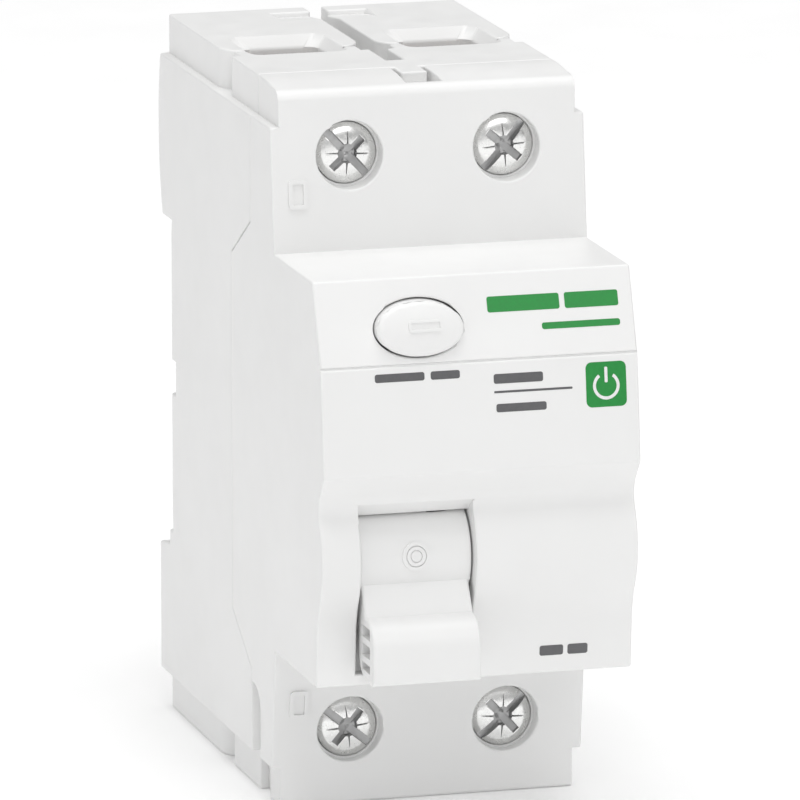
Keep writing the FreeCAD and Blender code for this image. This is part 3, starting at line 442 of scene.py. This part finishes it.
def on_drum(x, along, height, middle):
    """A place on the drum: along its girth from a middle angle in degrees, all in metres."""
    angle = math.radians(middle) + along / DRUM_RADIUS
    radius = DRUM_RADIUS + height
    return Vector((x, TOGGLE_PIVOT.y + radius * math.cos(angle), TOGGLE_PIVOT.z + radius * math.sin(angle)))


def turned_relief(name, profile, middle, steps=72):
    """A round relief on the drum, with a profile of radius and height in mm."""
    bm = bmesh.new()
    centre_x = TOGGLE_PIVOT.x
    rings = []
    for radius, height in profile:
        ring = []
        for step in range(steps):
            turn = 2 * math.pi * step / steps
            across, along = radius * MM * math.cos(turn), radius * MM * math.sin(turn)
            ring.append(bm.verts.new(on_drum(centre_x + across, along, height * MM, middle)))
        rings.append(ring)
    for inner, outer in zip(rings, rings[1:]):
        for i in range(steps):
            bm.faces.new((inner[i - 1], inner[i], outer[i], outer[i - 1]))
    bm.faces.new(rings[0])
    bm.faces.new(rings[-1])
    bmesh.ops.recalc_face_normals(bm, faces=bm.faces)
    return smooth(add_piece(name, bm, "toggle", "toggle_plastic"), 30)


def bar_relief(name, middle, half_width=0.35, half_length=1.6, height=0.1):
    """The upright bar that shows when the toggle is raised."""
    bm = bmesh.new()
    columns = []
    for across, rise in ((-1, -0.05), (-0.9, height), (0.9, height), (1, -0.05)):
        places = [half_length * (step / 6 - 1) for step in range(13)]
        columns.append([bm.verts.new(on_drum(TOGGLE_PIVOT.x + across * half_width * MM, along * MM,
                                             rise * MM, middle)) for along in places])
    for a, b in zip(columns, columns[1:] + columns[:1]):
        for i in range(1, len(a)):
            bm.faces.new((a[i - 1], a[i], b[i], b[i - 1]))
    bm.faces.new([column[0] for column in columns])
    bm.faces.new([column[-1] for column in columns])
    bmesh.ops.recalc_face_normals(bm, faces=bm.faces)
    return smooth(add_piece(name, bm, "toggle", "toggle_plastic"), 30)


def make_toggle_marks():
    """The ring that shows at rest and the bar that shows when the toggle is raised."""
    stepped = ((0.58, 0.14), (0.60, 0.02), (0.68, 0.02), (0.70, 0.2), (1.05, 0.2), (1.07, 0.02),
               (1.15, 0.02), (1.17, 0.2), (1.56, 0.2), (1.6, -0.05))
    turned_relief("off_ring", stepped, 174)
    bar_relief("on_bar", 295)


# ---------------------------------------------------------------- screws

def lathe(profile, steps=64):
    """A closed turned shape about the Y axis, from points of Y and radius in mm."""
    bm = bmesh.new()
    rings = []
    for y, radius in profile:
        if radius == 0:
            rings.append([bm.verts.new((0, y * MM, 0))])
            continue
        rings.append([bm.verts.new((radius * MM * math.cos(2 * math.pi * step / steps), y * MM,
                                    radius * MM * math.sin(2 * math.pi * step / steps)))
                      for step in range(steps)])
    for a, b in zip(rings, rings[1:]):
        for i in range(steps):
            corners = [a[(i - 1) % len(a)], a[i % len(a)], b[i % len(b)], b[(i - 1) % len(b)]]
            bm.faces.new(list(dict.fromkeys(corners)))
    bmesh.ops.recalc_face_normals(bm, faces=bm.faces)
    return bm


def screw_profile(tip, under, rim, top, thread=2.5, head=HEAD_RADIUS, pitch=0.8, depth=0.22):
    """Tip, thread, neck and domed head of a terminal screw."""
    points = [(tip, 0), (tip, thread - 0.7)]
    y = tip - 0.5
    while y - pitch > under + 1.5:
        points += [(y, thread - depth), (y - 0.35 * pitch, thread), (y - 0.5 * pitch, thread)]
        y -= pitch
    points += [(y, thread - depth), (under, thread - depth), (under, head - 0.12), (under - 0.12, head)]
    steps = 12
    for step in range(steps):
        angle = math.radians(90 * step / steps)
        fall = (rim - top) * math.sin(angle) ** DOME_FALL
        points.append((rim - fall, head * math.cos(angle) ** DOME_ROUND))
    points.append((top, 0))
    return points


def wedge(bm, x0, x1, half0, half1, deep0, deep1, top, turn):
    """A tapered groove cutter that runs outwards from the screw's axis, in mm."""
    corners = []
    for x, half, deep in ((x0, half0, deep0), (x1, half1, deep1)):
        for z in (-half, half):
            corners.append(bm.verts.new((x * MM, (top - 1) * MM, z * MM)))
            corners.append(bm.verts.new((x * MM, (top + deep) * MM, z * 0.8 * MM)))
    a, b, c, d, e, f, g, h = corners
    faces = ((a, b, d, c), (e, g, h, f), (a, e, f, b), (c, d, h, g), (a, c, g, e), (b, f, h, d))
    for face in faces:
        bm.faces.new(face)
    bmesh.ops.rotate(bm, verts=corners, cent=(0, 0, 0), matrix=Matrix.Rotation(math.radians(turn), 3, "Y"))
    return corners


def recess_cutters(top):
    """The cutters of a combined cross and slot recess with four short ticks."""
    cutters = []
    for turn in (0, 180):
        bm = bmesh.new()
        wedge(bm, -0.2, 4.2, 0.52, 0.52, 1.3, 0.95, top, turn)
        cutters.append(bm)
    for turn in (90, 270):
        bm = bmesh.new()
        wedge(bm, -0.2, 2.4, 0.52, 0.5, 1.5, 0.75, top, turn)
        cutters.append(bm)
    for turn in (45, 135, 225, 315):
        bm = bmesh.new()
        wedge(bm, 0.5, 2.5, 0.12, 0.02, 0.6, 0.22, top, turn)
        cutters.append(bm)
    cutters.append(lathe([(top - 1, 0), (top - 1, 1.15), (top + 1.0, 1.05), (top + 1.75, 0)], 32))
    for bm in cutters:
        bmesh.ops.recalc_face_normals(bm, faces=bm.faces)
    return cutters


def cut(bm, cutters):
    """Takes the cutters' volumes out of a mesh."""
    def temporary(mesh_data):
        mesh = bpy.data.meshes.new("temporary")
        mesh_data.to_mesh(mesh)
        mesh_data.free()
        item = bpy.data.objects.new("temporary", mesh)
        bpy.context.scene.collection.objects.link(item)
        return item
    work = temporary(bm)
    tools = [temporary(cutter) for cutter in cutters]
    for tool in tools:
        modifier = work.modifiers.new("cut", "BOOLEAN")
        modifier.object = tool
        modifier.operation = "DIFFERENCE"
        modifier.solver = "EXACT"
    shape = bpy.data.meshes.new_from_object(work.evaluated_get(bpy.context.evaluated_depsgraph_get()))
    result = bmesh.new()
    result.from_mesh(shape)
    for item in (work, *tools):
        bpy.data.objects.remove(item)
    return result


def dome_depth(radius, head=HEAD_RADIUS, rise=HEAD_RISE):
    """How far the domed face lies behind its middle at a radius, in mm, as screw_profile draws it."""
    angle = math.acos(min(radius / head, 1) ** (1 / DOME_ROUND))
    return rise * (1 - math.sin(angle) ** DOME_FALL)


def sunk(place, origin, top):
    """Whether a place on a screw lies in its recess."""
    radius = math.hypot(place.x - origin.x, place.z - origin.z) / MM
    return radius < 3.3 and place.y / MM < top + 3.5 and place.y / MM > top + dome_depth(radius) + 0.06


def make_collar(node, low, origin):
    """The ledge of the case that closes the gap round a screw's head."""
    rim = low.y / MM
    inner, outer = 3.5, 3.85
    bm = lathe([(rim + 2.2, inner), (rim + 1.0, inner), (rim + 0.8, inner + 0.08), (rim + 0.8, outer),
                (rim + 2.2, outer), (rim + 2.2, inner)])
    bmesh.ops.remove_doubles(bm, verts=bm.verts, dist=0.001 * MM)
    bm.transform(Matrix.Translation(origin))
    return smooth(add_piece(node + "_collar", bm, "housing", "case_plastic", origin=origin), 35)


def make_screws():
    """The four terminal screws, each left at its own angle."""
    turns = {"screw_upper_left": 47, "screw_upper_right": -50,
             "screw_lower_left": 39, "screw_lower_right": -42}
    for node, turn in turns.items():
        low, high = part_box(node)
        origin = Vector(((low.x + high.x) / 2, 0, (low.z + high.z) / 2))
        top = low.y / MM
        make_collar(node, low, origin)
        bm = lathe(screw_profile(high.y / MM, top + 2.8, top + HEAD_RISE, top))
        bm = cut(bm, recess_cutters(top))
        edges = [edge for edge in bm.edges if edge.is_manifold and edge.is_convex
                 and edge.calc_face_angle() > math.radians(40) and edge.calc_length() > 0.15 * MM
                 and min(vert.co.y for vert in edge.verts) < (top + 1.5) * MM]
        bmesh.ops.bevel(bm, geom=edges, offset=0.04 * MM, segments=2, profile=0.5, affect="EDGES")
        bm.transform(Matrix.Translation(origin) @ Matrix.Rotation(math.radians(turn), 4, "Y"))
        piece = smooth(add_piece(node + "_turned", bm, body_of(node), finish_of(node), origin=origin), 35)
        # the faces in the recess take the darker steel, as painted shade
        piece.data.materials.append(RECESS_PAINTED_SHADE)
        for face in piece.data.polygons:
            face.material_index = int(sunk(face.center + origin, origin, top))
        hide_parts(node)


# ---------------------------------------------------------------- springs

def make_coil(name, node, along, radius, wire, turns, length, start, joint=None):
    """A wire spring in place of a CAD node, from a start along an axis, all in mm."""
    steps = turns * 24
    axis = Vector(along)
    side = axis.orthogonal().normalized()
    other = axis.cross(side)
    curve = bpy.data.curves.new(name, "CURVE")
    curve.dimensions = "3D"
    curve.bevel_depth = wire / 2 * MM
    curve.bevel_resolution = 3
    curve.use_fill_caps = True
    spline = curve.splines.new("POLY")
    spline.points.add(steps)
    for step, point in enumerate(spline.points):
        share = step / steps
        angle = 2 * math.pi * turns * share
        eased = min(max((share * (turns + 1.6) - 0.8) / turns, 0), 1)
        place = Vector(start) + axis * (wire / 2 + (length - wire) * eased)
        place += (side * math.cos(angle) + other * math.sin(angle)) * radius
        point.co = (*(place * MM), 1)
    item = bpy.data.objects.new(name + "_curve", curve)
    bpy.context.scene.collection.objects.link(item)
    mesh = bpy.data.meshes.new_from_object(item.evaluated_get(bpy.context.evaluated_depsgraph_get()))
    bpy.data.objects.remove(item)
    bm = bmesh.new()
    bm.from_mesh(mesh)
    piece = smooth(add_piece(name, bm, body_of(node), finish_of(node)), 60)
    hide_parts(node)
    if joint:
        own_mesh(piece)


def make_springs():
    """The two springs of the parts that move, the test button and the rail clip, each with a mesh of its own."""
    low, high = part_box("test_button_spring")
    x, z = (low.x + high.x) / 2 / MM, (low.z + high.z) / 2 / MM
    make_coil("button_coil", "test_button_spring", (0, -1, 0), 2.0, 0.35, 4, 3.35, (x, high.y / MM, z),
              "test_button_press")
    low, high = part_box("rail_clip_spring")
    y = (low.y + high.y) / 2 / MM
    make_coil("clip_coil", "rail_clip_spring", (0, 0, 1), 0.9, 0.3, 11, 7.6, (0, y, low.z / MM),
              "rail_clip_slide")


# ---------------------------------------------------------------- case

def in_cells(edge):
    """Whether an edge belongs to the hollow cells in the end of the toggle's handle."""
    return all(-66.7 * MM < vert.co.y < -63.3 * MM and -20.4 * MM < vert.co.z < -15.2 * MM
               and vert.co.x < -11.0 * MM for vert in edge.verts)


def in_joint(edge):
    """Whether an edge lies in the hidden face where the two halves of the case meet."""
    return all(abs(vert.co.y - JOINT_FACE_Y) < 0.3 * MM and abs(vert.co.x) < 17.2 * MM
               and abs(vert.co.z) < 40.4 * MM for vert in edge.verts)


# each moulding's edge rounding and the shortest edge that gets one, in mm
SHELLS = {"front_cover": (0.25, 0.4), "rear_base": (0.25, 0.4), "toggle": (0.3, 0.3),
          "test_button": (0.5, 0.0), "rail_clip": (0.3, 0.3)}
for shell, (width, shortest) in SHELLS.items():
    softened(shell, width * MM, lambda edge, least=shortest: edge.calc_length() > least * MM
             and not in_cells(edge) and not in_joint(edge))
dress_hidden_nodes(SHELLS)
make_prints()
make_relief_marks()
make_toggle_marks()
make_screws()
make_springs()


# ---------------------------------------------------------------- studio

DARK_SIDE, LIGHT_SIDE = 0.10, 0.66
LAMPS = (("key", (0.1, -1.3, 1.0), 1.0, 4.2), ("side", (-1.2, -0.5, 0.7), 1.0, 0.15),
         ("top", (0.0, -0.1, 1.6), 1.2, 12.5))
FLOOR_GLOW = 0.09


def make_studio():
    """Pale floor, soft light that is brighter from the upper left, and three broad lamps."""
    bm = bmesh.new()
    bmesh.ops.create_grid(bm, x_segments=8, y_segments=8, size=8.0)
    mesh = bpy.data.meshes.new("floor")
    bm.to_mesh(mesh)
    bm.free()
    floor = bpy.data.objects.new("floor", mesh)
    floor.location.z = cad_box[0].z - 0.05 * MM
    bpy.context.scene.collection.objects.link(floor)
    paper = plastic("floor_paper", (0.95, 0.95, 0.95), 0.9)
    shader = paper.node_tree.nodes["Principled BSDF"]
    shader.inputs["Emission Color"].default_value = (1, 1, 1, 1)
    shader.inputs["Emission Strength"].default_value = FLOOR_GLOW
    floor.data.materials.append(paper)

    world = bpy.data.worlds.new("studio")
    world.use_nodes = True
    tree = world.node_tree
    place = tree.nodes.new("ShaderNodeTexCoord")
    toward = tree.nodes.new("ShaderNodeVectorMath")
    toward.operation = "DOT_PRODUCT"
    toward.inputs[1].default_value = Vector((-0.4, -0.35, 0.85)).normalized()
    shade = tree.nodes.new("ShaderNodeMapRange")
    shade.interpolation_type = "SMOOTHSTEP"
    for socket, number in (("From Min", -0.9), ("From Max", 0.9),
                           ("To Min", DARK_SIDE), ("To Max", LIGHT_SIDE)):
        shade.inputs[socket].default_value = number
    tree.links.new(place.outputs["Generated"], toward.inputs[0])
    tree.links.new(toward.outputs["Value"], shade.inputs["Value"])
    tree.links.new(shade.outputs["Result"], tree.nodes["Background"].inputs["Strength"])
    tree.nodes["Background"].inputs["Color"].default_value = (1, 1, 1, 1)
    bpy.context.scene.world = world
    for name, place, size, power in LAMPS:
        light = bpy.data.lights.new(name, "AREA")
        light.size = size
        light.energy = power
        lamp = bpy.data.objects.new(name, light)
        lamp.location = place
        lamp.rotation_euler = (Vector((0, -0.03, 0)) - Vector(place)).to_track_quat("-Z", "Y").to_euler()
        bpy.context.scene.collection.objects.link(lamp)


def make_camera(azimuth=-15.82, elevation=12.48, distance=1.0885, lens=436.1):
    """A long lens on the device from its upper left."""
    turn, lift = math.radians(azimuth), math.radians(elevation)
    back = Vector((math.sin(turn) * math.cos(lift), -math.cos(turn) * math.cos(lift), math.sin(lift)))
    data = bpy.data.cameras.new("camera")
    data.sensor_width = 36.0
    data.lens = lens
    data.shift_x = 0.00775
    data.shift_y = 0.020
    data.clip_start = 0.01
    camera = bpy.data.objects.new("camera", data)
    camera.location = Vector((0, -30 * MM, 0)) + back * distance
    camera.rotation_mode = "QUATERNION"
    camera.rotation_quaternion = (-back).to_track_quat("-Z", "Y")
    bpy.context.scene.collection.objects.link(camera)
    bpy.context.scene.camera = camera


make_studio()
make_camera()
bpy.context.scene.view_settings.view_transform = "Standard"
